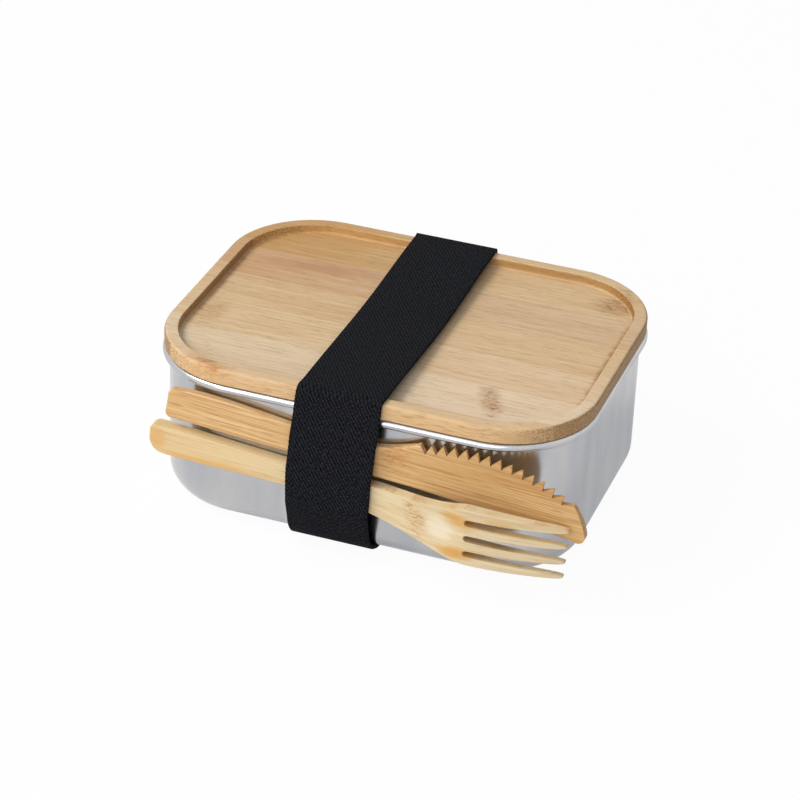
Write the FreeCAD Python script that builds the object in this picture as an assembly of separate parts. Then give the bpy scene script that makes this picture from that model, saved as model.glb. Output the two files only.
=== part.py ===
import FreeCAD, Part
import math
import os

os.makedirs("parts", exist_ok=True)
vec = FreeCAD.Vector
origin = vec(0, 0, 0)
up = vec(0, 0, 1)

# Lunch box, millimetres. X runs along the length, -Y is the front with the cutlery, +Z is up.
# The origin is on the surface it stands on, under the middle of the box.

# Steel box, over the outside of its wall
box_length = 171.6
box_width = 130.6
box_height = 62.3
box_corner_radius = 34.8
base_edge_radius = 11.4
sheet = 0.6
rim_curl_radius = 1.7
rim_curl_turn = 290.0

# Bamboo lid
lid_overhang = 2.2
lid_edge_height = 6.6
lid_top_round = 1.2
lid_bottom_round = 0.6
lid_seat_gap = 0.2
tray_border = 5.5
tray_depth = 3.5
tray_cove = 1.0
tray_edge_round = 0.5
plug_depth = 5.5
plug_gap = 1.2
stave_pitch = 23.5
stave_count = 6
front_stave_width = 11.5

# Silicone seal in the groove of the plug
groove_height = 2.6
groove_depth = 1.6
groove_rise = 1.4
seal_gap = 0.15
seal_fin = 0.5
seal_web = 0.3

# Elastic strap
strap_width = 35.0
strap_thickness = 1.6
strap_gap = 0.2
strap_centre_x = -3.4
strap_bend_radius = 4.0
strap_lap = 26.0

# Thread of the sewn lap
stitch_length = 2.4
stitch_pitch = 3.0
stitch_width = 0.6
stitch_height = 0.35
stitch_margin = 2.5
stitch_row_pitch = 4.0
stitch_rows = 6

# Cutlery behind the strap
cutlery_gap = 0.3

# Knife, measured from the lower corner of the handle end along the straight lower edge
knife_length = 171.2
knife_thickness = 3.6
knife_tilt = 4.1
knife_left_of_strap = 71.0
knife_below_rim = 18.1
knife_end_width = 12.9
knife_end_round = 2.4
knife_end_lean = 0.7
knife_edge_round = 0.8
knife_waist_at = 52.0
knife_waist_width = 12.0
neck_run = 17.5
neck_width = 13.4
saw_run = 57.7
saw_crest_run = 26.5
saw_start_width = 19.7
saw_crest_width = 23.2
saw_end_width = 15.4
saw_teeth = 13
saw_depth = 4.0
saw_lean = 1.1
saw_edge_thickness = 1.0
bevel_nose_width = 4.0
tip_length = 10.0
tip_shoulder_drop = 3.0
tip_shoulder_reach = 4.2
tip_swell = 0.6
tip_droop = 3.4
tip_round = 3.2

# Fork, measured from the handle end along its middle
fork_length = 170.3
fork_tilt = 3.3
fork_left_of_strap = 76.8
fork_below_knife = 9.7
fork_end_width = 12.2
fork_end_round = 3.2
fork_edge_round = 0.6
fork_waist_at = 55.8
fork_waist_width = 9.5
fork_throat_run = 29.0
fork_throat_width = 14.4
fork_flare_run = 11.0
fork_flare_width = 20.4
fork_head_width = 24.6
fork_shoulder_run = 3.0
fork_handle_thickness = 5.0
fork_head_thickness = 4.8
fork_tip_thickness = 2.4
fork_arch_run = 51.0
fork_bow = 5.0
fork_dish_width = 17.0
fork_dish_depth = 1.1
fork_dish_before_tines = 10.5
tine_count = 4
tine_length = 38.5
tine_tip_width = 2.6
slot_width = 2.7

# Levels and half sizes worked out from the sizes above
base_z = strap_thickness + strap_gap
rim_z = base_z + box_height
lid_z = rim_z + lid_seat_gap
lid_top_z = lid_z + lid_edge_height
lid_length = box_length + 2 * lid_overhang
lid_width = box_width + 2 * lid_overhang
lid_corner_radius = box_corner_radius + lid_overhang
plug_inset = sheet + plug_gap
cutlery_y = -(box_width / 2 + cutlery_gap)
tine_root = fork_length - tine_length
fork_arch_start = tine_root - fork_arch_run
fork_tip_out = knife_thickness + cutlery_gap
fork_arch = fork_tip_out + fork_bow


# Rounded rectangle about the Z axis, standing from z upward
def rounded_plate(length, width, radius, z, height):
    x = length / 2 - radius
    y = width / 2 - radius
    arcs = []
    for i, (cx, cy) in enumerate([(x, y), (-x, y), (-x, -y), (x, -y)]):
        arcs.append(Part.makeCircle(radius, vec(cx, cy, z), up, 90 * i, 90 * i + 90))
    edges = []
    for arc, following in zip(arcs, arcs[1:] + arcs[:1]):
        edges.append(arc)
        edges.append(Part.makeLine(arc.Vertexes[1].Point, following.Vertexes[0].Point))
    return Part.Face(Part.Wire(edges)).extrude(vec(0, 0, height))


# A section swept round a rounded rectangle. Its x is the distance out from that outline.
def ring(section, length, width, radius):
    x = length / 2 - radius
    y = width / 2 - radius
    pieces = []
    for i, (cx, cy, run) in enumerate([(x, y, 2 * y), (-x, y, 2 * x), (-x, -y, 2 * y), (x, -y, 2 * x)]):
        face = section.copy()
        face.translate(vec(radius, 0, 0))
        face.rotate(origin, up, 90 * i)
        face.translate(vec(cx, cy, 0))
        pieces.append(face.revolve(vec(cx, cy, 0), up, 90))
        turn = math.radians(90 * i)
        pieces.append(face.extrude(vec(math.sin(turn), -math.cos(turn), 0) * run))
    return pieces[0].fuse(pieces[1:]).removeSplitter()


# Point of a circle in the x, z plane
def arc_point(x, z, radius, angle):
    return vec(x + radius * math.cos(angle), 0, z + radius * math.sin(angle))


# Arc in the x, z plane, angles in degrees, either way round
def arc_edge(x, z, radius, start, end):
    turns = [math.radians(a) for a in (start, (start + end) / 2, end)]
    return Part.Arc(*[arc_point(x, z, radius, t) for t in turns]).toShape()


# Smooth curve through points, with end directions where given
def smooth_edge(points, first=None, last=None):
    curve = Part.BSplineCurve()
    if first:
        curve.interpolate(Points=points, InitialTangent=first, FinalTangent=last)
    else:
        curve.interpolate(points)
    return curve.toShape()


# Straight edges through points
def polyline(points):
    return [Part.makeLine(a, b) for a, b in zip(points, points[1:])]


# Closed face through points
def flat_face(points):
    return Part.Face(Part.Wire(polyline(points + points[:1])))


# Edges of one chain, joined by straight lines where they do not meet, as a closed face
def joined_face(parts):
    edges = []
    for part, following in zip(parts, parts[1:] + parts[:1]):
        edges.append(part)
        here = part.lastVertex(True).Point
        there = following.firstVertex(True).Point
        if here.distanceToPoint(there) > 1e-6:
            edges.append(Part.makeLine(here, there))
    return Part.Face(Part.Wire(edges))


# One drawn sheet: flat base, rounded base edge, wall and rolled rim
def make_steel_box():
    bend_z = base_z + base_edge_radius
    curl_z = rim_z - rim_curl_radius
    inner_curl = rim_curl_radius - sheet
    curl_end = 180 - rim_curl_turn
    section = joined_face([
        arc_edge(-base_edge_radius, bend_z, base_edge_radius, -90, 0),
        arc_edge(inner_curl, curl_z, inner_curl, 180, curl_end),
        arc_edge(inner_curl, curl_z, rim_curl_radius, curl_end, 180),
        arc_edge(-base_edge_radius, bend_z, base_edge_radius - sheet, 0, -90)])
    wall = ring(section, box_length, box_width, box_corner_radius)
    base = rounded_plate(box_length - 2 * base_edge_radius, box_width - 2 * base_edge_radius,
                         box_corner_radius - base_edge_radius, base_z, sheet)
    return wall.fuse(base).removeSplitter()


# The glued board: rounded edge, tray on top, plug with its seal groove below
def make_lid_board():
    floor_z = lid_top_z - tray_depth
    inner = tray_border + tray_cove
    section = joined_face([
        arc_edge(-inner, floor_z + tray_cove, tray_cove, -90, 0),
        arc_edge(tray_edge_round - tray_border, lid_top_z - tray_edge_round, tray_edge_round, 180, 90),
        arc_edge(-lid_top_round, lid_top_z - lid_top_round, lid_top_round, 90, 0),
        arc_edge(-lid_bottom_round, lid_z + lid_bottom_round, lid_bottom_round, 0, -90),
        Part.makeLine(vec(-inner, 0, lid_z), vec(-inner, 0, floor_z))])
    border = ring(section, lid_length, lid_width, lid_corner_radius)
    middle = rounded_plate(lid_length - 2 * inner, lid_width - 2 * inner,
                           lid_corner_radius - inner, lid_z, floor_z - lid_z)
    plug = rounded_plate(box_length - 2 * plug_inset, box_width - 2 * plug_inset,
                         box_corner_radius - plug_inset, lid_z - plug_depth, plug_depth)
    return border.fuse([middle, plug]).removeSplitter().cut(make_plug_ring([]))


# Ring in the groove of the plug: a block whose outer side follows the given fins
def make_plug_ring(fins):
    low = lid_z - plug_depth + groove_rise
    profile = [(-groove_depth, 0), (0, 0)] + fins + [(0, groove_height), (-groove_depth, groove_height)]
    section = flat_face([vec(x, 0, low + rise) for x, rise in profile])
    return ring(section, box_length - 2 * plug_inset, box_width - 2 * plug_inset,
                box_corner_radius - plug_inset)


# Silicone seal: a block in the groove with two fins that reach for the wall
def make_seal():
    reach = plug_gap - seal_gap
    spare = (groove_height - 2 * seal_fin - seal_web) / 2
    lower = [(reach, spare / 2), (reach, spare / 2 + seal_fin), (seal_web, spare + seal_fin)]
    upper = [(x, groove_height - rise) for x, rise in reversed(lower)]
    return make_plug_ring(lower + upper)


# The board cut at its glue joints, front stave first
def make_staves(board):
    joints = [-lid_width / 2 + front_stave_width + i * stave_pitch for i in range(stave_count - 1)]
    bounds = [-lid_width] + joints + [lid_width]
    staves = []
    for near, far in zip(bounds, bounds[1:]):
        slab = Part.makeBox(2 * lid_length, far - near, 2 * lid_top_z, vec(-lid_length, near, 0))
        staves.append(board.common(slab))
    return staves


# Tilt a piece drawn with its length on X and its face to -Y, and hang it by its handle end
def lay_cutlery(shape, tilt, left, below):
    shape.rotate(origin, vec(0, 1, 0), tilt)
    shape.translate(vec(strap_centre_x - left, cutlery_y, rim_z - below))
    return shape


# Edges on the front and back faces of a flat piece, left of a distance along it
def handle_edges(shape, until):
    boxes = [(e, e.BoundBox) for e in shape.Edges]
    return [e for e, b in boxes if b.XMin < until - 1 and b.YLength < 1e-3]


# Bamboo knife: handle with a waist, curved saw edge on top, slanted tip
def make_knife():
    saw_end_at = knife_length - tip_length
    saw_start_at = saw_end_at - saw_run
    saw_crest_at = saw_start_at + saw_crest_run
    neck = vec(saw_start_at - neck_run, 0, neck_width)
    start = vec(saw_start_at, 0, saw_start_width)
    crest = vec(saw_crest_at, 0, saw_crest_width)
    finish = vec(saw_end_at, 0, saw_end_width)
    shoulder = vec(saw_end_at + tip_shoulder_reach, 0, saw_end_width - tip_shoulder_drop)
    nose = vec(knife_length, 0, 0)
    swell = (shoulder + nose) / 2 + vec(tip_swell, 0, 0)
    heel = vec(knife_length - tip_round, 0, -tip_droop)
    belly = vec(saw_start_at, 0, 0)
    r = knife_end_round
    grip_top = vec(knife_end_lean + r, 0, knife_end_width)
    grip_end = vec(r, 0, 0)
    waist = vec(knife_waist_at, 0, knife_waist_width)
    saw = Part.Arc(start, crest, finish).toShape()
    outline = [
        arc_edge(r, r, r, -90, -180),
        arc_edge(knife_end_lean + r, knife_end_width - r, r, 180, 90),
        smooth_edge([grip_top, waist, neck, start]),
        saw,
        smooth_edge([shoulder, swell, nose]),
        Part.Arc(nose, vec(nose.x - tip_round / 5, 0, heel.z * 3 / 4), heel).toShape(),
        smooth_edge([heel, vec(saw_crest_at, 0, heel.z / 3), belly]),
        Part.makeLine(belly, grip_end)]
    blank = joined_face(outline).extrude(vec(0, -knife_thickness, 0))
    blank = blank.makeFillet(knife_edge_round, handle_edges(blank, saw_start_at))
    blank = blank.cut(make_bevel(neck, vec(knife_length, 0, bevel_nose_width), crest))
    knife = blank.cut(make_saw_cut(saw.Curve, start, finish))
    return lay_cutlery(knife, knife_tilt, knife_left_of_strap, knife_below_rim)


# The wedge planed off the back of the blade, from a line on it to a thin saw edge at the crest
def make_bevel(line_start, line_end, crest):
    along = (line_end - line_start).normalize()
    rise = vec(-along.z, 0, along.x)
    height = (crest - line_start).dot(rise)
    far = rise * (2 * height) - vec(0, 2 * (knife_thickness - saw_edge_thickness), 0)
    corner = line_start - along * neck_run
    wedge = flat_face([corner, corner + far, corner + rise * (2 * height)])
    return wedge.extrude(along * ((line_end - line_start).Length + 2 * neck_run))


# What the saw cuts away: all above a row of leaning teeth that follows the arc of the blade
def make_saw_cut(arc, start, finish):
    centre = arc.Center
    first = math.atan2(start.z - centre.z, start.x - centre.x)
    last = math.atan2(finish.z - centre.z, finish.x - centre.x)
    step = (last - first) / saw_teeth
    lean = saw_lean / arc.Radius
    tip_r = arc.Radius - knife_edge_round / 8
    points = []
    for i in range(saw_teeth + 1):
        points.append(arc_point(centre.x, centre.z, tip_r, first + i * step))
        points.append(arc_point(centre.x, centre.z, tip_r - saw_depth, first + i * step - lean))
    points.append(finish + vec(tip_shoulder_reach, 0, -tip_shoulder_drop))
    points.append(points[-1] + vec(0, 0, saw_crest_width))
    points.append(points[0] + vec(0, 0, saw_crest_width))
    cut = flat_face(points)
    cut.translate(vec(0, knife_thickness, 0))
    return cut.extrude(vec(0, -3 * knife_thickness, 0))


# How far the fork's back stands out past the handle's back at distance s
def fork_lift(s):
    if s <= tine_root:
        share = (s - fork_arch_start) / fork_arch_run
        return fork_arch * (1 - math.cos(math.pi * share)) / 2
    return fork_arch - fork_bow * ((s - tine_root) / tine_length) ** 2


# Thickness of the fork at distance s past the start of its arch
def fork_depth(s):
    if s <= tine_root:
        share = (s - fork_arch_start) / fork_arch_run
        return fork_handle_thickness + share * (fork_head_thickness - fork_handle_thickness)
    share = (s - tine_root) / tine_length
    return fork_head_thickness + share * (fork_tip_thickness - fork_head_thickness)


# One side of the fork from shoulder to handle end, on the +Z side
def fork_side():
    shoulder_at = tine_root + fork_shoulder_run
    widths = [(shoulder_at, fork_head_width), (shoulder_at - fork_flare_run, fork_flare_width),
              (shoulder_at - fork_throat_run, fork_throat_width), (fork_waist_at, fork_waist_width),
              (fork_end_round, fork_end_width)]
    points = [vec(s, 0, width / 2) for s, width in widths]
    return smooth_edge(points, vec(-1, 0, 0), vec(-1, 0, 0))


# The fork seen from the front: handle, shoulders and round-ended tines
def make_fork_plan():
    tine_width = (fork_head_width - (tine_count - 1) * slot_width) / tine_count
    pitch = tine_width + slot_width
    tip_r = tine_tip_width / 2
    root_s = tine_root + slot_width / 2
    tines = []
    for i in range(tine_count):
        middle = (i - (tine_count - 1) / 2) * pitch
        tines.append(arc_edge(fork_length - tip_r, middle, tip_r, -90, 90))
        if i < tine_count - 1:
            tines.append(arc_edge(root_s, middle + pitch / 2, slot_width / 2, 270, 90))
    upper = fork_side()
    lower = upper.mirror(origin, up)
    lower.reverse()
    half = fork_end_width / 2
    end = Part.Arc(vec(fork_end_round, 0, half), origin, vec(fork_end_round, 0, -half)).toShape()
    return joined_face(tines + [upper, end, lower])


# The ball whose cap is hollowed out of the front of the fork's head
def make_dish():
    middle = tine_root - fork_dish_before_tines
    half = min(fork_dish_width, fork_flare_width) / 2
    radius = (half ** 2 + fork_dish_depth ** 2) / (2 * fork_dish_depth)
    near, far = [vec(s, -fork_lift(s) - fork_depth(s), 0) for s in (middle - half, middle + half)]
    out = (far - near).normalize().cross(up)
    out = out if out.y < 0 else -out
    spot = vec(middle, -fork_lift(middle) - fork_depth(middle), 0)
    return Part.makeSphere(radius, spot + out * (radius - fork_dish_depth))


# Bamboo fork: the front outline cut out of an arched blank
def make_fork():
    count = 12
    stations = [fork_arch_start + i * (fork_length - fork_arch_start) / count for i in range(count + 1)]
    back = [vec(s, -fork_lift(s), 0) for s in stations]
    face = [vec(s, -fork_lift(s) - fork_depth(s), 0) for s in reversed(stations)]
    blank = joined_face([
        smooth_edge(back),
        smooth_edge(face),
        Part.makeLine(vec(0, -fork_handle_thickness, 0), origin)])
    blank.translate(vec(0, 0, -fork_head_width))
    blank = blank.extrude(vec(0, 0, 2 * fork_head_width))
    deep = 2 * (fork_arch + fork_handle_thickness)
    plan = make_fork_plan()
    plan.translate(vec(0, deep, 0))
    fork = plan.extrude(vec(0, -2 * deep, 0)).common(blank)
    fork = fork.makeFillet(fork_edge_round, [e for e in fork.Edges if e.Curve.TypeId != "Part::GeomLine"])
    fork = fork.cut(make_dish())
    return lay_cutlery(fork, fork_tilt, fork_left_of_strap, knife_below_rim + fork_below_knife)


# Circles (y, z, radius) that the strap is stretched round, seen along X. Each piece of cutlery comes
# with the room above it that lets its wider handle end be drawn through.
def strap_pulleys(cutlery):
    base_y = box_width / 2 - base_edge_radius
    rim_y = box_width / 2 + rim_curl_radius - sheet
    lid_y = lid_width / 2 - lid_top_round
    pulleys = []
    for side in (-1, 1):
        pulleys.append((side * base_y, base_z + base_edge_radius, base_edge_radius))
        pulleys.append((side * rim_y, rim_z - rim_curl_radius, rim_curl_radius))
        pulleys.append((side * lid_y, lid_top_z - lid_top_round, lid_top_round))
    under = Part.makeBox(strap_width, lid_width, 2 * lid_top_z,
                         vec(strap_centre_x - strap_width / 2, -lid_width, 0))
    held = [(piece.common(under).optimalBoundingBox(), room) for piece, room in cutlery]
    pulleys += [(b.YMin, b.ZMax + room, 0) for b, room in held]
    front = min(b.YMin for b, room in held)
    low = min(b.ZMin for b, room in held)
    bend = min(strap_bend_radius, (low - base_z) * 2 / 3)
    pulleys.append((front + bend, low - bend / 2, bend))
    return pulleys


# The circles that the strap touches, in order, each with the angles where it meets and leaves
def strap_turns(pulleys):
    steps = 7200
    angles = [2 * math.pi * k / steps for k in range(steps)]
    outer = []
    for a in angles:
        reach = [y * math.cos(a) + z * math.sin(a) + r for y, z, r in pulleys]
        outer.append(reach.index(max(reach)))
    changes = []
    for k in range(steps):
        i, j = outer[k - 1], outer[k]
        if i != j:
            dy = pulleys[i][0] - pulleys[j][0]
            dz = pulleys[i][1] - pulleys[j][1]
            lean = math.acos((pulleys[j][2] - pulleys[i][2]) / math.hypot(dy, dz))
            facing = math.atan2(dz, dy)
            gaps = [math.remainder(facing + lean - angles[k], 2 * math.pi),
                    math.remainder(facing - lean - angles[k], 2 * math.pi)]
            changes.append((angles[k] + min(gaps, key=abs), j))
    turns = []
    for (start, i), (end, _) in zip(changes, changes[1:] + changes[:1]):
        turns.append((i, start, start + (end - start) % (2 * math.pi)))
    return turns


# Closed path of the strap at a distance outside the circles
def strap_wire(pulleys, turns, offset):
    arcs = []
    for i, start, end in turns:
        y, z, r = pulleys[i]
        spots = [vec(0, y + (r + offset) * math.cos(a), z + (r + offset) * math.sin(a))
                 for a in (start, (start + end) / 2, end)]
        arcs.append(Part.Arc(*spots).toShape())
    edges = []
    for arc, following in zip(arcs, arcs[1:] + arcs[:1]):
        edges.append(arc)
        edges.append(Part.makeLine(arc.lastVertex().Point, following.firstVertex().Point))
    return Part.Wire(edges)


# Block on a slanted face: from a middle point, sizes along X, along the face and out of it
def slanted_block(middle, along, out, across, run, height):
    side = vec(across / 2, 0, 0)
    half = along * (run / 2)
    foot = [middle - side - half, middle + side - half, middle + side + half, middle - side + half]
    return flat_face(foot).extrude(out * height)


# Elastic loop in its two runs, and the stitches of its lap on the back
def make_strap(cutlery):
    pulleys = strap_pulleys(cutlery)
    turns = strap_turns(pulleys)
    outside = strap_wire(pulleys, turns, strap_gap + strap_thickness)
    inside = strap_wire(pulleys, turns, strap_gap)
    loop = Part.Face([outside, inside])
    loop.translate(vec(strap_centre_x - strap_width / 2, 0, 0))
    loop = loop.extrude(vec(strap_width, 0, 0))
    straight = [e for e in outside.Edges if e.Curve.TypeId == "Part::GeomLine"]
    back = max([e for e in straight if e.CenterOfMass.y > box_width / 2], key=lambda e: e.Length)
    along = (back.Vertexes[1].Point - back.Vertexes[0].Point).normalize()
    out = along.cross(vec(1, 0, 0))
    out = out if out.y > 0 else -out
    middle = back.CenterOfMass + vec(strap_centre_x, 0, 0)
    loop = loop.fuse(slanted_block(middle, along, out, strap_width, strap_lap, strap_thickness))
    loop = loop.removeSplitter()
    above = Part.makeBox(2 * strap_width, 2 * lid_width, lid_top_z,
                         vec(strap_centre_x - strap_width, -lid_width, lid_top_z - lid_top_round))
    per_row = int((strap_width - 2 * stitch_margin) / stitch_pitch)
    stitches = []
    for row in range(stitch_rows):
        side = 1 if row % 2 else -1
        inset = strap_lap / 2 - stitch_margin - (row // 2) * stitch_row_pitch
        line = middle + along * (side * inset) + out * strap_thickness
        for k in range(per_row):
            spot = line + vec((k - (per_row - 1) / 2) * stitch_pitch, 0, 0)
            stitches.append(slanted_block(spot, along, out, stitch_length, stitch_width, stitch_height))
    return loop.cut(above), loop.common(above), Part.makeCompound(stitches)


knife = make_knife()
fork = make_fork()
knife_room = max(0, knife_end_width - knife_waist_width)
fork_room = max(0, fork_end_width - fork_waist_width) / 2
lower_run, top_run, stitches = make_strap([(knife, knife_room), (fork, fork_room)])
nodes = {
    "steel_box": make_steel_box(),
    "lid_seal": make_seal(),
    "elastic_strap": lower_run,
    "strap_top_run": top_run,
    "strap_stitches": stitches,
    "knife": knife,
    "fork": fork,
}
for i, stave in enumerate(make_staves(make_lid_board())):
    nodes[f"lid_stave_{i + 1}"] = stave
for name, shape in nodes.items():
    shape.exportStep(f"parts/{name}.step")
    box = shape.BoundBox
    print(f"{name}: {len(shape.Solids)} solids, valid {shape.isValid()}, {shape.Volume:.1f} mm3, "
          f"x {box.XMin:.1f} {box.XMax:.1f} y {box.YMin:.1f} {box.YMax:.1f} z {box.ZMin:.1f} {box.ZMax:.1f}")
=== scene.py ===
import math

import bmesh
import bpy
from mathutils import Matrix, Vector


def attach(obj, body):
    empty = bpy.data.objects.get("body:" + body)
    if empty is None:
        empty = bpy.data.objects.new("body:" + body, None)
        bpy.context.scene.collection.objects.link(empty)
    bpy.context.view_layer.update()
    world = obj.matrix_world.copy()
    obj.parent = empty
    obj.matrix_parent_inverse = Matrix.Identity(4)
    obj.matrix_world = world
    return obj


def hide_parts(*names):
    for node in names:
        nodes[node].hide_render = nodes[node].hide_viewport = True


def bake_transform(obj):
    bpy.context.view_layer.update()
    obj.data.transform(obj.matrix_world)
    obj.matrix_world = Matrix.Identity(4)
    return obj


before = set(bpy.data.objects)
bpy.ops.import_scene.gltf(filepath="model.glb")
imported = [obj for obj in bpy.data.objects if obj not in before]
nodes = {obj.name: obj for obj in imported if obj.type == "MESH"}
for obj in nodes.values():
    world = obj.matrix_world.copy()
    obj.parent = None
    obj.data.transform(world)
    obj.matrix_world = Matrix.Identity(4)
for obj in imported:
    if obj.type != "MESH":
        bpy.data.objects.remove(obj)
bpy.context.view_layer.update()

scene = bpy.context.scene
scene.view_settings.view_transform = "Standard"
mm = 0.001
hair = 0.001  # places closer than this, in mm, count as one
print("frame loaded:", len(nodes), "nodes")


# sRGB hex to linear colour
def srgb(code):
    parts = [int(code[k:k + 2], 16) / 255 for k in (1, 3, 5)]
    return [p / 12.92 if p < 0.04045 else ((p + 0.055) / 1.055) ** 2.4 for p in parts] + [1.0]


# adds one node: settings go to its properties or sockets, links come from other nodes or their sockets
def addNode(tree, kind, settings={}, links={}):
    node = tree.nodes.new(kind)
    for key, value in settings.items():
        if isinstance(key, str) and hasattr(node, key):
            setattr(node, key, value)
        else:
            node.inputs[key].default_value = value
    for key, source in links.items():
        socket = source if isinstance(source, bpy.types.NodeSocket) else source.outputs[0]
        tree.links.new(socket, node.inputs[key])
    return node


# settings for two colours, in the order in which a mix takes them
def toneSettings(first, second):
    return {"data_type": "RGBA", 6: srgb(first), 7: srgb(second)}


# settings for a soft step between two limits
def softStep(limits, top=1.0):
    return {"interpolation_type": "SMOOTHSTEP", "From Min": limits[0], "From Max": limits[1], "To Max": top}


def newMaterial(name):
    material = bpy.data.materials.new(name)
    material.use_nodes = True
    material.node_tree.nodes.clear()
    return material, material.node_tree


def dressNode(name, material):
    for slot in nodes[name].material_slots:
        slot.material = material


def addPiece(name, bm, material):
    mesh = bpy.data.meshes.new(name)
    bm.to_mesh(mesh)
    bm.free()
    piece = bpy.data.objects.new(name, mesh)
    scene.collection.objects.link(piece)
    mesh.materials.append(material)
    for face in mesh.polygons:
        face.use_smooth = True
    return piece


# camera at the photograph's angle
cameraLook = {
    "place": (0.3342, -0.9906, 0.6484),
    "turn": (59.5074, -2.0817, 19.9751),
    "lens": 136.25, "sensor": 36,
}
cameraData = bpy.data.cameras.new("camera")
cameraData.lens = cameraLook["lens"]
cameraData.sensor_width = cameraLook["sensor"]
camera = bpy.data.objects.new("camera", cameraData)
camera.location = cameraLook["place"]
camera.rotation_euler = [math.radians(a) for a in cameraLook["turn"]]
scene.collection.objects.link(camera)
scene.camera = camera

# soft key from the upper left, broad weak fill from the front
lampAim = Vector((0, 0, 0.04))
lampLook = {
    "key": {"from": (-1.8, -0.9, 2.4), "power": 48.0, "size": 1.3, "tint": "#fffaf2"},
    "fill": {"from": (-0.3, -2.6, 1.5), "power": 41.0, "size": 2.2, "tint": "#fbfbff"},
}
for name, look in lampLook.items():
    lampData = bpy.data.lights.new(name, "AREA")
    lampData.energy = look["power"]
    lampData.size = look["size"]
    lampData.color = srgb(look["tint"])[:3]
    lamp = bpy.data.objects.new(name, lampData)
    lamp.location = look["from"]
    lamp.rotation_euler = (lampAim - lamp.location).to_track_quat("-Z", "Y").to_euler()
    scene.collection.objects.link(lamp)

# white room: plain level of light for the object, pure white where the camera or metal looks past it
roomLook = {"light": 0.42, "tint": "#eff3fa"}
world = bpy.data.worlds.new("whiteRoom")
scene.world = world
world.use_nodes = True
tree = world.node_tree
tree.nodes.clear()
path = addNode(tree, "ShaderNodeLightPath")
seen = addNode(tree, "ShaderNodeMath", {"operation": "MAXIMUM"},
               {0: path.outputs["Is Camera Ray"], 1: path.outputs["Is Glossy Ray"]})
seen = addNode(tree, "ShaderNodeMath", {"operation": "MAXIMUM"},
               {0: seen, 1: path.outputs["Is Transmission Ray"]})
room = addNode(tree, "ShaderNodeBackground",
               {"Color": srgb(roomLook["tint"]), "Strength": roomLook["light"]})
white = addNode(tree, "ShaderNodeBackground", {"Color": (1, 1, 1, 1), "Strength": 1.0})
both = addNode(tree, "ShaderNodeMixShader", {}, {0: seen, 1: room, 2: white})
addNode(tree, "ShaderNodeOutputWorld", {}, {"Surface": both})

# matt white paper floor, lifted to white for the camera and keeping a faint shadow
floorLook = {"half": 3.0, "below": 0.2, "colour": "#f4f4f4", "lift": 0.95, "liftInMetal": 0.33}
material, tree = newMaterial("whitePaperFloor")
path = addNode(tree, "ShaderNodeLightPath")
seen = addNode(tree, "ShaderNodeMath", {"operation": "MULTIPLY", 1: floorLook["lift"]},
               {0: path.outputs["Is Camera Ray"]})
metal = addNode(tree, "ShaderNodeMath", {"operation": "MAXIMUM"},
                {0: path.outputs["Is Glossy Ray"], 1: path.outputs["Is Transmission Ray"]})
lift = addNode(tree, "ShaderNodeMath", {"operation": "MULTIPLY_ADD", 1: floorLook["liftInMetal"]},
               {0: metal, 2: seen})
paper = addNode(tree, "ShaderNodeBsdfDiffuse", {"Color": srgb(floorLook["colour"])})
glow = addNode(tree, "ShaderNodeEmission", {"Color": (1, 1, 1, 1), "Strength": 1.0})
both = addNode(tree, "ShaderNodeMixShader", {}, {0: lift, 1: paper, 2: glow})
addNode(tree, "ShaderNodeOutputMaterial", {}, {"Surface": both})
bm = bmesh.new()
bmesh.ops.create_grid(bm, x_segments=2, y_segments=2, size=floorLook["half"])
bmesh.ops.translate(bm, verts=bm.verts[:], vec=(0, 0, -floorLook["below"] * mm))
floor = addPiece("floor", bm, material)
print("camera, lamps and floor placed")

# planed and oiled bamboo: fine long streaks, dots on the cut ends, a speckled brown band at each knuckle,
# with painted shade and highlights laid on in places
grainLook = {
    # run along the culm and width across it in mm, then detail and roughness of the noise
    "broad": (110, 9, 2, 0.55), "ragged": (12, 2.2, 3, 0.55), "specks": (3.2, 0.75, 3, 0.7),
    "streakDetail": (3, 0.55), "dashWidth": (0.55, 2, 0.55), "bundleRun": 60, "seedSlant": 0.7,
    "paleShare": 0.8, "edgeDashes": 0.3, "bump": 0.35, "bumpDeep": 0.06,
    # where each pattern sets in and where it is full, by its own value or by the way that a face looks
    "limits": {"broad": (0.42, 0.75), "pale": (0.5, 0.3), "deep": (0.5, 0.72), "dashes": (0.54, 0.7),
               "edgeDashes": (0.48, 0.68), "bundles": (0.62, 0.15), "specks": (0.44, 0.68),
               "patch": (1.55, 0.6), "wash": (0.0, 1.0), "endFace": (0.3, 0.95), "cutFace": (0.25, 0.8),
               "edgeFace": (0.97, 0.55), "wallFace": (0.75, 0.35)},
}


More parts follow.
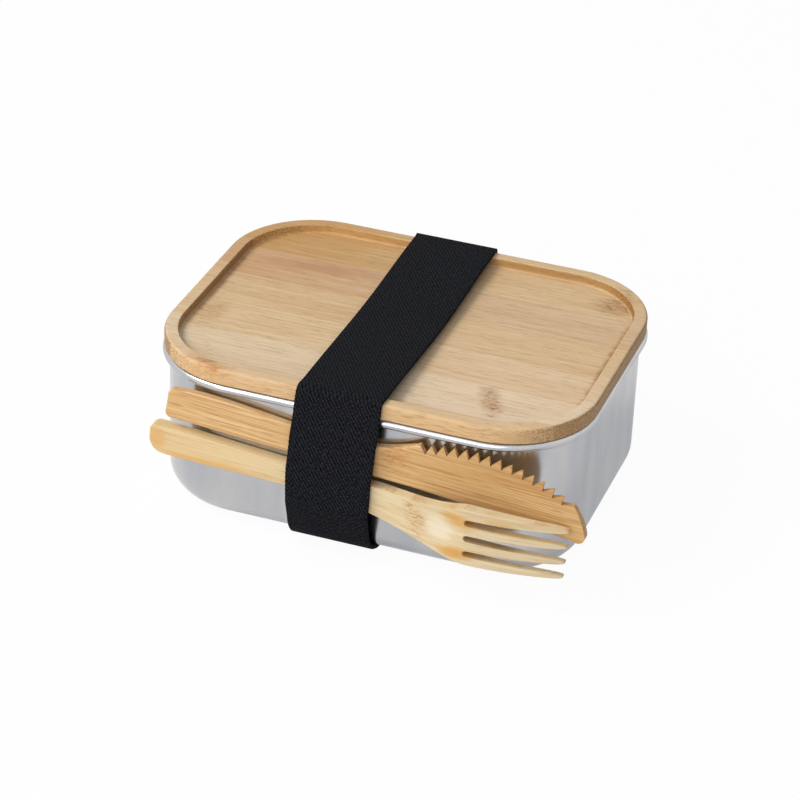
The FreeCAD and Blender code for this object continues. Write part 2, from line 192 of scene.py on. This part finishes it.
def bambooMaterial(name, look):
    material, tree = newMaterial(name)
    limits = grainLook["limits"]
    place = addNode(tree, "ShaderNodeTexCoord")
    lie = addNode(tree, "ShaderNodeMapping", {"Rotation": (0, math.radians(-look["tilt"]), 0)},
                  {"Vector": place.outputs["Object"]})
    shift = addNode(tree, "ShaderNodeVectorMath",
                    {"operation": "ADD", 1: (look["seed"], look["seed"] * grainLook["seedSlant"], 0)},
                    {0: lie})

    # scale at which one unit of a pattern is this long along the fibre and this wide across it
    def fibreScale(run, width):
        return 1 / (run * mm), 1 / (width * look["through"] * mm), 1 / (width * mm)

    # noise drawn out along the fibre
    def fibres(run, width, detail, roughness):
        drawn = addNode(tree, "ShaderNodeMapping", {"Scale": fibreScale(run, width)}, {"Vector": shift})
        return addNode(tree, "ShaderNodeTexNoise", {"Scale": 1.0, "Detail": detail, "Roughness": roughness},
                       {"Vector": drawn})

    # lays a colour, or another tone, over a tone where a pattern shows, only within a mask if there is one
    def layTone(below, above, pattern, kind, top=1.0, mask=None):
        share = addNode(tree, "ShaderNodeMapRange", softStep(limits[kind], top), {"Value": pattern})
        if mask is not None:
            share = addNode(tree, "ShaderNodeMath", {"operation": "MULTIPLY"}, {0: mask, 1: share})
        settings, links = {"data_type": "RGBA"}, {0: share, 6: below}
        if isinstance(above, str):
            settings[7] = srgb(above)
        else:
            links[7] = above
        return addNode(tree, "ShaderNodeMix", settings, links).outputs[2]

    # pairs of tones run from the left end to the right end
    axes = addNode(tree, "ShaderNodeSeparateXYZ", {}, {0: place.outputs["Object"]})
    along = addNode(tree, "ShaderNodeMapRange", softStep((look["from"] * mm, look["to"] * mm)),
                    {"Value": axes})
    tones = {part: addNode(tree, "ShaderNodeMix", toneSettings(*look[part]), {0: along}).outputs[2]
             for part in ("face", "edge", "ends") if part in look}
    streakRun, dashRun = look["runs"]
    broad = fibres(*grainLook["broad"])
    streaks = fibres(streakRun, look["line"], *grainLook["streakDetail"])
    dashes = fibres(dashRun, *grainLook["dashWidth"])
    tone = layTone(tones["face"], look["deep"], broad, "broad", look["broad"])
    tone = layTone(tone, look["pale"], streaks, "pale", look["streak"] * grainLook["paleShare"])
    tone = layTone(tone, look["deep"], streaks, "deep", look["streak"])
    tone = layTone(tone, look["dash"], dashes, "dashes", look["dashes"])

    # routed and trimmed edges take up more oil and carry painted shade where they face away from the light,
    # and faces across the grain show cut fibre bundles as dots
    facing = addNode(tree, "ShaderNodeNewGeometry")
    normal = addNode(tree, "ShaderNodeSeparateXYZ", {}, {0: facing.outputs["Normal"]})
    across, through, upright = [addNode(tree, "ShaderNodeMath", {"operation": "ABSOLUTE"}, {0: axis})
                                for axis in normal.outputs]
    if "edge" in tones:
        oiledAndShadedSides = layTone(tones["edge"], tones.get("ends", tones["edge"]), across, "endFace")
        tone = layTone(tone, oiledAndShadedSides, upright, "edgeFace", look["edgeWash"])
        trimmed = addNode(tree, "ShaderNodeMapRange", softStep(limits["edgeFace"]), {"Value": upright})
        tone = layTone(tone, look["dash"], dashes, "edgeDashes", grainLook["edgeDashes"], trimmed)
    drawn = addNode(tree, "ShaderNodeMapping",
                    {"Scale": fibreScale(grainLook["bundleRun"], look["bundle"])}, {"Vector": shift})
    bundles = addNode(tree, "ShaderNodeTexVoronoi", {"Scale": 1.0}, {"Vector": drawn})
    cut = addNode(tree, "ShaderNodeMapRange", softStep(limits["cutFace"]), {"Value": across})
    tone = layTone(tone, look["bundleTone"], bundles, "bundles", look["endDots"], cut)

    # soft patches of colour, with specks where the fibres cross: knuckles and stains, some painted shade
    # and one painted highlight
    for patch in look["patches"]:
        local = addNode(tree, "ShaderNodeMapping",
                        {"vector_type": "TEXTURE", "Location": [c * mm for c in patch["at"]],
                         "Rotation": [math.radians(a) for a in patch.get("turn", (0, 0, 0))],
                         "Scale": [c * mm for c in patch["half"]]}, {"Vector": place.outputs["Object"]})
        far = addNode(tree, "ShaderNodeVectorMath", {"operation": "LENGTH"}, {0: local})
        ragged = addNode(tree, "ShaderNodeMath", {"operation": "ADD"},
                         {0: far.outputs["Value"], 1: fibres(*grainLook["ragged"])})
        inside = addNode(tree, "ShaderNodeMapRange", softStep(limits["patch"]), {"Value": ragged})
        if patch.get("shadeOnWalls"):  # only on faces across the thickness: painted shade on the walls of the slots
            wall = addNode(tree, "ShaderNodeMapRange", softStep(limits["wallFace"]), {"Value": through})
            inside = addNode(tree, "ShaderNodeMath", {"operation": "MULTIPLY"}, {0: inside, 1: wall})
        tone = layTone(tone, patch["colour"], inside, "wash", patch["wash"])
        if "dark" in patch:
            specks = fibres(*grainLook["specks"])
            tone = layTone(tone, patch["dark"], specks, "specks", patch["specks"], inside)

    grain = addNode(tree, "ShaderNodeBump",
                    {"Strength": grainLook["bump"], "Distance": grainLook["bumpDeep"] * mm},
                    {"Height": dashes})
    sheen = addNode(tree, "ShaderNodeMapRange", {"To Min": look["rough"][0], "To Max": look["rough"][1]},
                    {"Value": streaks})
    skin = addNode(tree, "ShaderNodeBsdfPrincipled", {"IOR": 1.5, "Specular IOR Level": 0.25},
                   {"Base Color": tone, "Roughness": sheen, "Normal": grain})
    addNode(tree, "ShaderNodeOutputMaterial", {}, {"Surface": skin})
    return material


# lid staves from the front: tones of face, cut edges and ends, and where knuckles and stains show; the edge
# and end tones are partly the oil that cut faces take up and partly painted shade, darker on the tray's
# left inner walls and towards the right end
staveLook = {
    "lid_stave_1": {"face": ("#dfc19a", "#ddbe94"), "edge": ("#d8ae78", "#d6ac77"),
                    "ends": ("#cfa56f", "#a0774a"), "edgeWash": 0.6, "patches": [
        {"at": (-58, -63, 69), "half": (14, 7, 9), "turn": (0, 0, -20), "colour": "#d29c60",
         "dark": "#a5672f", "wash": 0.55, "specks": 0.8}]},
    "lid_stave_2": {"face": ("#e1cba9", "#e6ceae"), "edge": ("#a57c49", "#aa824e"), "patches": [
        {"at": (49, -43, 67), "half": (6, 16, 20), "turn": (0, 0, 22), "colour": "#bb9062",
         "dark": "#7d4f2a", "wash": 0.45, "specks": 0.85}]},
    "lid_stave_3": {"face": ("#ddc097", "#e1c49e"), "edge": ("#a57c49", "#aa824e"), "patches": [
        {"at": (-75, -18, 67), "half": (8, 12, 20), "turn": (0, 0, -12), "colour": "#bb8f5c",
         "dark": "#8f6236", "wash": 0.35, "specks": 0.5}]},
    "lid_stave_4": {"face": ("#d9b98f", "#dabb91"), "edge": ("#a27946", "#a87f4b"), "patches": []},
    "lid_stave_5": {"face": ("#cca47a", "#d6b690"), "edge": ("#a27946", "#a87f4b"), "patches": [
        {"at": (-46, 31, 67), "half": (38, 7, 20), "turn": (0, 0, 4), "colour": "#b5845f", "wash": 0.6},
        {"at": (40, 26, 67), "half": (34, 6, 20), "colour": "#c39c76", "wash": 0.3}]},
    "lid_stave_6": {"face": ("#c79c64", "#dabb90"), "edge": ("#c99d62", "#b1874f"),
                    "ends": ("#c69a60", "#9d7440"), "patches": [
        {"at": (71, 49, 68), "half": (12, 10, 20), "turn": (0, 0, 20), "colour": "#b98f5a",
         "dark": "#6f4a24", "wash": 0.45, "specks": 1.0}]},
}
everyStave = {"from": -60, "to": 40, "tilt": 0, "through": 1, "seed": 0.37, "deep": "#b58852",
              "pale": "#ebd6b5", "dash": "#8a5f33", "line": 1.2, "broad": 0.25, "streak": 0.32,
              "dashes": 0.3, "runs": (34, 6), "bundle": 0.58, "bundleTone": "#6f4a22", "endDots": 0.75,
              "edgeWash": 0.85, "rough": (0.44, 0.6),
              "patches": [  # painted shade: the tray's floor is darker in the coves where it meets the end walls
                  {"at": (-82, 0, 66.9), "half": (3.4, 70, 2.2), "colour": "#9a6f3d", "wash": 0.6},
                  {"at": (82, 0, 66.9), "half": (3.6, 70, 2.2), "colour": "#9a6f3f", "wash": 0.75}]}
for number, (name, own) in enumerate(staveLook.items(), 1):
    look = {**everyStave, **own}
    look["seed"] = everyStave["seed"] * number
    look["patches"] = own["patches"] + everyStave["patches"]
    dressNode(name, bambooMaterial("oiledBambooStave" + str(number), look))

# sanded bamboo knife: close warm streaks, one reddish knuckle, and a face tone that darkens towards the tip
# as painted shade, where the light falls off away from the lamp on the left
knifeLook = {"face": ("#d9b079", "#cca269"), "from": -40, "to": 70, "tilt": 4.1, "through": 1, "seed": 3.1,
             "deep": "#b17b41", "pale": "#efd3a4", "dash": "#9d6633", "line": 0.7, "broad": 0.2,
             "streak": 0.66, "dashes": 0.5, "runs": (70, 14), "bundle": 0.8, "bundleTone": "#9d6633",
             "endDots": 0.4, "rough": (0.44, 0.6), "patches": [
                 {"at": (20, -69, 50.3), "half": (10, 8, 9), "colour": "#c98f58", "dark": "#945428",
                  "wash": 0.35, "specks": 0.75}]}
dressNode("knife", bambooMaterial("sandedBambooKnife", knifeLook))
print("bamboo dressed")

# carved bamboo fork: a flat sheet drawn out along its stations, split into tines, arched, dished, thickened
forkLook = {
    # run from the handle's end and width, mm
    "stations": [(0, 5.6), (1.2, 9.8), (3.4, 12.4), (8, 12.4), (16, 12.1), (28, 11.3), (42, 10.3),
                 (55.8, 9.7), (70, 9.9), (82, 10.8), (92, 12.1), (100, 13.5), (106, 14.7), (112, 16.2),
                 (118, 18.1), (124, 20.8), (128, 23.0), (131.4, 24.6)],
    "lanes": (0.11, 0.277, 0.445, 0.665, 0.833, 1.0),  # lines of the sheet, as shares of half its width
    # run from a tine's root and share of its width there
    "tine": [(2.5, 1.0), (9, 0.96), (17, 0.87), (25, 0.75), (31, 0.65), (35, 0.55), (37.6, 0.41),
             (39.0, 0.24), (39.4, 0.1)],
    "archFrom": 80.8, "archRun": 51.0, "arch": 8.9, "bow": 5.0, "handle": 5.0, "head": 4.8, "tip": 2.4,
    "dish": {"at": 121.0, "half": (12.5, 10.5), "deep": 1.5, "fall": 1.5}, "hollowBack": 0.4,
    "slotDrop": 0.6, "dropFrom": 112, "dropRun": 16, "dropFade": 4, "slotLater": (1.0, -0.05),
    "endCut": 6.0, "endRise": 1.7, "rings": (0.2, 0.6, 0.2), "crease": 0.4, "creaseFrom": 50,
    "creaseSlope": 0.6, "smooth": 3, "at": (-80.2, -65.6, 36.3), "tilt": 3.3,
    "face": ("#e0c593", "#dcc9a2"), "from": -60, "to": 30, "through": 40, "seed": 5.3, "deep": "#c99f63",
    "pale": "#efe0bd", "dash": "#b27f45", "line": 1.3, "broad": 0.3, "streak": 0.45, "dashes": 0.35,
    "runs": (70, 14), "bundle": 0.8, "bundleTone": "#b27f45", "endDots": 0.3, "rough": (0.42, 0.58),
    "patches": [
        {"at": (-53, -71, 29.3), "half": (40, 10, 4.5), "turn": (0, 3.3, 0), "colour": "#d8a65c",
         "wash": 0.7},
        {"at": (-77, -71, 36), "half": (6, 10, 8), "colour": "#dba65c", "wash": 0.6},
        # painted highlight: a pale spot in the middle of the dish, where it faces the light
        {"at": (41.5, -75, 29.3), "half": (10, 14, 8), "colour": "#e8dabd", "wash": 0.85},
        {"at": (49.5, -76, 35.2), "half": (11, 14, 6), "turn": (0, 20, 0), "colour": "#d3a156",
         "wash": 0.95},
        {"at": (49.5, -76, 20.4), "half": (11, 14, 4.4), "colour": "#d29c4e", "wash": 0.9},
        {"at": (66, -76, 36.5), "half": (9, 14, 3), "turn": (0, 6, 0), "colour": "#d4a660", "wash": 0.55},
        {"at": (31.5, -73, 30.2), "half": (6, 14, 11), "turn": (0, -22, 0), "colour": "#d6b077",
         "dark": "#96602a", "wash": 0.4, "specks": 1.0},
        # painted shade in the slots: dark brown on the tine walls by their roots, where little light
        # reaches
        {"at": (57, -73, 28), "half": (26, 14, 16), "colour": "#86642f", "wash": 0.55, "shadeOnWalls": True}],
}


def drawOut(bm, edges, move, wider, middle):
    grown = bmesh.ops.extrude_edge_only(bm, edges=edges)["geom"]
    verts = [g for g in grown if isinstance(g, bmesh.types.BMVert)]
    bmesh.ops.translate(bm, verts=verts, vec=(move, 0, 0))
    bmesh.ops.scale(bm, verts=verts, vec=(1, wider, 1), space=Matrix.Translation((0, -middle, 0)))
    return [g for g in grown if isinstance(g, bmesh.types.BMEdge) and all(v in verts for v in g.verts)]


# how far along a run is on the arch, and past it on the tines, each from 0 to 1
def forkShares(run):
    past = run - forkLook["archFrom"]
    onTine = (past - forkLook["archRun"]) / forkLook["tine"][-1][0]
    return min(1.0, max(0.0, past / forkLook["archRun"])), max(0.0, onTine)


# how far the back of the fork stands out from the handle's back
def forkBack(run):
    onArch, onTine = forkShares(run)
    return forkLook["arch"] * (1 - math.cos(math.pi * onArch)) / 2 - forkLook["bow"] * onTine ** 2


def forkThick(run):
    onArch, onTine = forkShares(run)
    handle, head, tip = forkLook["handle"], forkLook["head"], forkLook["tip"]
    return handle + onArch * (head - handle) + onTine * (tip - head)


def forkDish(run, side):
    dish = forkLook["dish"]
    far = ((run - dish["at"]) / dish["half"][0]) ** 2 + (side / dish["half"][1]) ** 2
    return dish["deep"] * max(0.0, 1 - far) ** dish["fall"]


# each slot starts later than the one above it
def slotLater(side):
    return forkLook["slotLater"][0] + forkLook["slotLater"][1] * side


bm = bmesh.new()
lanes = [-t for t in reversed(forkLook["lanes"])] + list(forkLook["lanes"])
run, width = forkLook["stations"][0]
row = [bm.verts.new((run, t * width / 2, 0)) for t in lanes]
edges = [bm.edges.new(pair) for pair in zip(row, row[1:])]
for nextRun, nextWidth in forkLook["stations"][1:]:
    edges = drawOut(bm, edges, nextRun - run, nextWidth / width, 0)
    run, width = nextRun, nextWidth
for vert in bm.verts:
    side = 2 * vert.co.y / width
    share = min(1.0, max(0.0, (vert.co.x - forkLook["dropFrom"]) / forkLook["dropRun"]))
    # the slots sit a little below the middle of the head
    vert.co.y -= forkLook["slotDrop"] * share * (1 - side ** forkLook["dropFade"])
    if vert.co.x > run - hair:
        vert.co.x += slotLater(vert.co.y)
    if vert.co.x < forkLook["endCut"]:  # the end of the handle is cut further back at its lower corner
        vert.co.y += forkLook["endRise"] * (1 - vert.co.x / forkLook["endCut"]) ** 2
edges.sort(key=lambda e: e.verts[0].co.y + e.verts[1].co.y)
for k in range(0, len(edges), 3):  # two lanes make a tine, the third is a slot
    tine = edges[k:k + 2]
    middle = sum(v.co.y for e in tine for v in e.verts) / 4
    reach, size = 0.0, 1.0
    shorter = 1 - slotLater(middle) / forkLook["tine"][-1][0]
    for nextReach, nextSize in forkLook["tine"]:
        tine = drawOut(bm, tine, (nextReach - reach) * shorter, nextSize / size, middle)
        reach, size = nextReach, nextSize
for vert in bm.verts:
    vert.co.z = forkBack(vert.co.x) + forkThick(vert.co.x) - forkDish(vert.co.x, vert.co.y)
skin = bm.faces[:]
for share in forkLook["rings"]:  # rings near front and back keep the rounding of the edges small
    grown = bmesh.ops.extrude_face_region(bm, geom=skin)["geom"]
    skin = [g for g in grown if isinstance(g, bmesh.types.BMFace)]
    for vert in [g for g in grown if isinstance(g, bmesh.types.BMVert)]:
        hollow = forkLook["hollowBack"] * forkDish(vert.co.x, vert.co.y)
        vert.co.z -= share * (forkThick(vert.co.x) - hollow)
bmesh.ops.recalc_face_normals(bm, faces=bm.faces[:])
crease = bm.edges.layers.float.new("crease_edge")
for edge in bm.edges:  # keeps the outlines of front and back crisp
    line = (edge.verts[1].co - edge.verts[0].co).normalized()
    sharp = edge.calc_face_angle(0) > math.radians(forkLook["creaseFrom"])
    if sharp and abs(line.z) < forkLook["creaseSlope"]:
        edge[crease] = forkLook["crease"]
lean = math.radians(forkLook["tilt"])
onWall = Matrix(((math.cos(lean), math.sin(lean), 0), (0, 0, -1), (-math.sin(lean), math.cos(lean), 0)))
lay = Matrix.Scale(mm, 4) @ Matrix.Translation(forkLook["at"]) @ onWall.to_4x4()
bmesh.ops.transform(bm, verts=bm.verts[:], matrix=lay)
fork = addPiece("forkCarved", bm, bambooMaterial("sandedBambooFork", forkLook))
smooth = fork.modifiers.new("smooth", "SUBSURF")
smooth.levels = smooth.render_levels = forkLook["smooth"]
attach(fork, "fork")
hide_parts("fork")
print("fork carved")

# deep-drawn stainless steel, satin polished: soft reflections and faint upright clouds left by the draw
steelLook = {"colour": "#c9c8c7", "cloud": "#b7bac1", "clouds": (12.0, 12.0, 36.0),
             "cloudLimits": (0.3, 0.7), "rough": (0.15, 0.23), "dents": 0.12, "dentDeep": 0.02,
             "grain": 0.5}  # coarser than the real polish, so that it shows
material, tree = newMaterial("satinStainlessSteel")
place = addNode(tree, "ShaderNodeTexCoord")
drawn = addNode(tree, "ShaderNodeMapping", {"Scale": [1 / (c * mm) for c in steelLook["clouds"]]},
                {"Vector": place.outputs["Object"]})
clouds = addNode(tree, "ShaderNodeTexNoise", {"Scale": 1.0, "Detail": 3.0}, {"Vector": drawn})
clouds = addNode(tree, "ShaderNodeMapRange",
                 {"From Min": steelLook["cloudLimits"][0], "From Max": steelLook["cloudLimits"][1]},
                 {"Value": clouds})
grit = addNode(tree, "ShaderNodeTexNoise", {"Scale": 1 / (steelLook["grain"] * mm), "Detail": 2.0},
               {"Vector": place.outputs["Object"]})
tone = addNode(tree, "ShaderNodeMix", toneSettings(steelLook["colour"], steelLook["cloud"]), {0: clouds})
polish = addNode(tree, "ShaderNodeMapRange",
                 {"To Min": steelLook["rough"][0], "To Max": steelLook["rough"][1]}, {"Value": clouds})
relief = addNode(tree, "ShaderNodeBump",
                 {"Strength": steelLook["dents"], "Distance": steelLook["dentDeep"] * mm}, {"Height": grit})
skin = addNode(tree, "ShaderNodeBsdfPrincipled", {"Metallic": 1.0},
               {"Base Color": tone.outputs[2], "Roughness": polish, "Normal": relief})
addNode(tree, "ShaderNodeOutputMaterial", {}, {"Surface": skin})
dressNode("steel_box", material)

# moulded silicone: milky, slightly waxy ring
sealLook = {"colour": "#e4e4df", "dust": "#d3d3cd", "speck": 3.0, "rough": (0.37, 0.54)}
material, tree = newMaterial("milkySilicone")
place = addNode(tree, "ShaderNodeTexCoord")
dust = addNode(tree, "ShaderNodeTexNoise", {"Scale": 1 / (sealLook["speck"] * mm), "Detail": 3.0},
               {"Vector": place.outputs["Object"]})
tone = addNode(tree, "ShaderNodeMix", toneSettings(sealLook["colour"], sealLook["dust"]), {0: dust})
dull = addNode(tree, "ShaderNodeMapRange",
               {"To Min": sealLook["rough"][0], "To Max": sealLook["rough"][1]}, {"Value": dust})
skin = addNode(tree, "ShaderNodeBsdfPrincipled", {"IOR": 1.41},
               {"Base Color": tone.outputs[2], "Roughness": dull})
addNode(tree, "ShaderNodeOutputMaterial", {}, {"Surface": skin})
dressNode("lid_seal", material)
print("steel and silicone dressed")

# woven polyester elastic: matt black with slanting ribs and a fuzz of loose fibre, both painted slightly
# lighter as a highlight on the raised yarn
strapLook = {
    "left": -20.9, "width": 35.0, "thick": 1.6,
    # one strip round box, lid and cutlery, inner end first: y, z and bend radius at mid thickness
    "path": [(66.96, 24.39, 0), (68.45, 50.80, 3.0), (69.11, 54.20, 3.0), (69.11, 62.43, 2.7),
             (68.33, 71.90, 2.2), (-68.20, 71.90, 2.2), (-73.10, 39.04, 6.0), (-73.10, 23.00, 4.0),
             (-68.48, 6.62, 13.7), (-57.03, 0.80, 12.4), (65.62, 0.80, 12.4), (66.60, 18.2, 4.0),
             (68.43, 22.8, 4.0), (70.02, 50.26, 0)],
    # distance along the strip, then how far the left border and the right border move and how far it sags
    "askew": [(0, 0, 0, 0), (44, 0, 0, 0), (52, 0.7, 0.3, 0), (114, 1.1, 0.8, 1.3), (176, 1.3, 0.2, 0),
              (192, 0.2, -0.4, 0), (206, -0.65, -1.3, 0), (222, -1.2, -2.1, 0), (236, -1.0, -2.8, 0),
              (262, -1.2, -3.2, 0), (380, 0, 0, 0), (500, 0, 0, 0)],
    "bendStep": 7, "bendLeast": 3, "step": 1.2, "cross": 12, "tooth": 0.12,
    "edge": 0.45, "edgeSteps": 2, "edgeFrom": 50,
    "colour": "#050608", "ribHighlight": "#2b2c31", "ribTurn": 34.8, "rough": 0.85, "shine": 0.05,
    # pitch in mm, a little coarser than the real weave so that it shows, then waver and its fineness
    "ribs": (1.3, 2.2, 4.0), "yarns": (1.5, 5.0, 3.0), "fuzz": 0.9, "yarnShare": 0.6, "ribShare": 0.45,
    "fuzzShare": 2.2, "toneLimits": (1.0, 2.2), "bump": 0.8, "bumpDeep": 0.25,
}
waveTurn = 2 * math.pi / 20  # one wave of the texture in its own units
material, tree = newMaterial("wovenBlackElastic")
place = addNode(tree, "ShaderNodeTexCoord")
turned = addNode(tree, "ShaderNodeMapping", {"Rotation": (0, 0, math.radians(strapLook["ribTurn"]))},
                 {"Vector": place.outputs["UV"]})
ribs, yarns = [addNode(tree, "ShaderNodeTexWave",
                       {"bands_direction": axis, "Scale": waveTurn / (pitch * mm), "Distortion": waver,
                        "Detail": 2.0, "Detail Scale": fine}, {"Vector": turned})
               for axis, (pitch, waver, fine) in (("X", strapLook["ribs"]), ("Y", strapLook["yarns"]))]
fuzz = addNode(tree, "ShaderNodeTexNoise", {"Scale": 1 / (strapLook["fuzz"] * mm), "Detail": 2.0},
               {"Vector": turned})
knots = addNode(tree, "ShaderNodeMath",
                {"operation": "MULTIPLY_ADD", 1: strapLook["yarnShare"], 2: strapLook["ribShare"]},
                {0: yarns})
weave = addNode(tree, "ShaderNodeMath", {"operation": "MULTIPLY"}, {0: ribs, 1: knots})
weave = addNode(tree, "ShaderNodeMath", {"operation": "MULTIPLY_ADD", 1: strapLook["fuzzShare"]},
                {0: fuzz, 2: weave})
raised = addNode(tree, "ShaderNodeMapRange",
                 {"From Min": strapLook["toneLimits"][0], "From Max": strapLook["toneLimits"][1]},
                 {"Value": weave})
tone = addNode(tree, "ShaderNodeMix", toneSettings(strapLook["colour"], strapLook["ribHighlight"]), {0: raised})
relief = addNode(tree, "ShaderNodeBump",
                 {"Strength": strapLook["bump"], "Distance": strapLook["bumpDeep"] * mm}, {"Height": weave})
skin = addNode(tree, "ShaderNodeBsdfPrincipled",
               {"Roughness": strapLook["rough"], "Specular IOR Level": strapLook["shine"]},
               {"Base Color": tone.outputs[2], "Normal": relief})
addNode(tree, "ShaderNodeOutputMaterial", {}, {"Surface": skin})

# the path drawn sideways to a strip, then rounded at its bends
bm = bmesh.new()
left, right = strapLook["left"] * mm, (strapLook["left"] + strapLook["width"]) * mm
spots = [Vector((left, y * mm, z * mm)) for y, z, bend in strapLook["path"]]
line = [bm.verts.new(spot) for spot in spots]
for a, b in zip(line, line[1:]):
    bm.edges.new((a, b))
grown = bmesh.ops.extrude_edge_only(bm, edges=bm.edges[:])["geom"]
grown = [g for g in grown if isinstance(g, bmesh.types.BMVert)]
bmesh.ops.translate(bm, verts=grown, vec=(right - left, 0, 0))
folds = []
for k in range(1, len(spots) - 1):
    angle = (spots[k] - spots[k - 1]).angle(spots[k + 1] - spots[k])
    fold = [e for e in line[k].link_edges if abs(e.other_vert(line[k]).co.x - right) < hair * mm][0]
    segments = max(strapLook["bendLeast"], round(math.degrees(angle) / strapLook["bendStep"]))
    folds.append((fold, strapLook["path"][k][2] * mm * math.tan(angle / 2), segments))
for fold, reach, segments in folds:
    bmesh.ops.bevel(bm, geom=[fold], offset=reach, offset_type="OFFSET", affect="EDGES", segments=segments,
                    profile=0.5, material=-1)


# vertices of one border of the strip, from its corner at the inner end to the outer end
def walkBorder(corner):
    order = [v for v in bm.verts if (v.co - corner).length < hair * mm]
    while True:
        near = [e.other_vert(order[-1]) for e in order[-1].link_edges]
        near = [v for v in near if abs(v.co.x - corner.x) < hair * mm and v not in order[-2:]]
        if not near:
            return order
        order.append(near[0])


# the weave follows the strip: its map holds the way across it and the way along it, in metres
corners = [spots[0], spots[0] + Vector((right - left, 0, 0))]
border, mates = [walkBorder(corner) for corner in corners]
wayAlong = {}
length = 0.0
for k, (vert, mate) in enumerate(zip(border, mates)):
    length += (vert.co - border[k - 1].co).length if k else 0.0
    wayAlong[vert] = wayAlong[mate] = length
strip = bm.loops.layers.uv.new("strip")
for face in bm.faces:
    for loop in face.loops:
        loop[strip].uv = (loop.vert.co.x - left, wayAlong[loop.vert])
while True:
    lengthwise = [e for e in bm.edges if abs(e.verts[0].co.x - e.verts[1].co.x) < hair * mm]
    tooLong = [e for e in lengthwise if e.calc_length() > strapLook["step"] * mm]
    if not tooLong:
        break
    bmesh.ops.subdivide_edges(bm, edges=tooLong, cuts=1, use_grid_fill=True)
crosswise = [e for e in bm.edges if abs(e.verts[0].co.x - e.verts[1].co.x) > hair * mm]
bmesh.ops.subdivide_edges(bm, edges=crosswise, cuts=strapLook["cross"], use_grid_fill=True)

# yarns turn back at the borders as fine teeth, and the strip lies askew, necks in and sags over the tray
for corner, way in zip(corners, (-1, 1)):
    for k, vert in enumerate(walkBorder(corner)):
        vert.co.x += way * (k % 2 - 0.5) * strapLook["tooth"] * mm
spans = list(zip(strapLook["askew"], strapLook["askew"][1:]))
for vert in bm.verts:
    along = vert.link_loops[0][strip].uv.y / mm
    across = (vert.co.x - left) / (right - left)
    before, after = [span for span in spans if span[0][0] <= along + hair][-1]
    share = (along - before[0]) / (after[0] - before[0])
    share = share * share * (3 - 2 * share)
    leftMove, rightMove, sag = [a + share * (b - a) for a, b in zip(before[1:], after[1:])]
    vert.co.x += (leftMove + across * (rightMove - leftMove)) * mm
    vert.co.z -= sag * mm
bmesh.ops.recalc_face_normals(bm, faces=bm.faces[:])
strap = addPiece("strapElastic", bm, material)
thick = strap.modifiers.new("thick", "SOLIDIFY")
thick.thickness = strapLook["thick"] * mm
thick.offset = 0
soft = strap.modifiers.new("soft", "BEVEL")
soft.width = strapLook["edge"] * mm
soft.segments = strapLook["edgeSteps"]
soft.limit_method = "ANGLE"
soft.angle_limit = math.radians(strapLook["edgeFrom"])
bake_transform(strap)
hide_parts("elastic_strap", "strap_top_run")
print("strap woven:", round(length / mm), "mm long")

# twisted polyester thread: dark, slightly glossy stitches with a fine twist whose ridges are painted
# lighter as a highlight, six rows across the sewn lap
stitchLook = {"perRow": 10, "pitch": 3.0, "rows": (-10.5, -6.5, -2.5, 2.5, 6.5, 10.5),
              "half": (1.3, 0.36, 0.3), "middle": (-3.4, 69.26, 37.2), "facets": (8, 6), "twist": 0.4,
              "twistTurn": 35, "colour": "#1c1d20", "light": "#3a3b40", "rough": 0.55, "bump": 0.5,
              "bumpDeep": 0.1}
material, tree = newMaterial("blackPolyesterThread")
place = addNode(tree, "ShaderNodeTexCoord")
turned = addNode(tree, "ShaderNodeMapping", {"Rotation": (0, math.radians(stitchLook["twistTurn"]), 0)},
                 {"Vector": place.outputs["Object"]})
twist = addNode(tree, "ShaderNodeTexWave", {"Scale": waveTurn / (stitchLook["twist"] * mm)},
                {"Vector": turned})
tone = addNode(tree, "ShaderNodeMix", toneSettings(stitchLook["colour"], stitchLook["light"]), {0: twist})
relief = addNode(tree, "ShaderNodeBump",
                 {"Strength": stitchLook["bump"], "Distance": stitchLook["bumpDeep"] * mm},
                 {"Height": twist})
skin = addNode(tree, "ShaderNodeBsdfPrincipled", {"Roughness": stitchLook["rough"]},
               {"Base Color": tone.outputs[2], "Normal": relief})
addNode(tree, "ShaderNodeOutputMaterial", {}, {"Surface": skin})
bm = bmesh.new()
lapFoot, lapTop = [Vector((0, y, z)) for y, z, bend in strapLook["path"][-2:]]
climb = (lapTop - lapFoot).normalized()
outward = Vector((0, climb.z, -climb.y))
onLap = Matrix((Vector((1, 0, 0)), climb, outward)).transposed().to_4x4()
plump = Matrix.Diagonal([*[h * mm for h in stitchLook["half"]], 1])
aroundSides, alongSides = stitchLook["facets"]
for row in stitchLook["rows"]:
    for k in range(stitchLook["perRow"]):
        spot = Vector(stitchLook["middle"]) + climb * row + outward * strapLook["thick"] / 2
        spot.x += (k - (stitchLook["perRow"] - 1) / 2) * stitchLook["pitch"]
        lay = Matrix.Translation(spot * mm) @ onLap @ plump
        bmesh.ops.create_uvsphere(bm, u_segments=aroundSides, v_segments=alongSides, radius=1.0, matrix=lay)
bmesh.ops.recalc_face_normals(bm, faces=bm.faces[:])
stitches = addPiece("lapStitches", bm, material)
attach(stitches, "strap")
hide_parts("strap_stitches")
print("lap sewn")
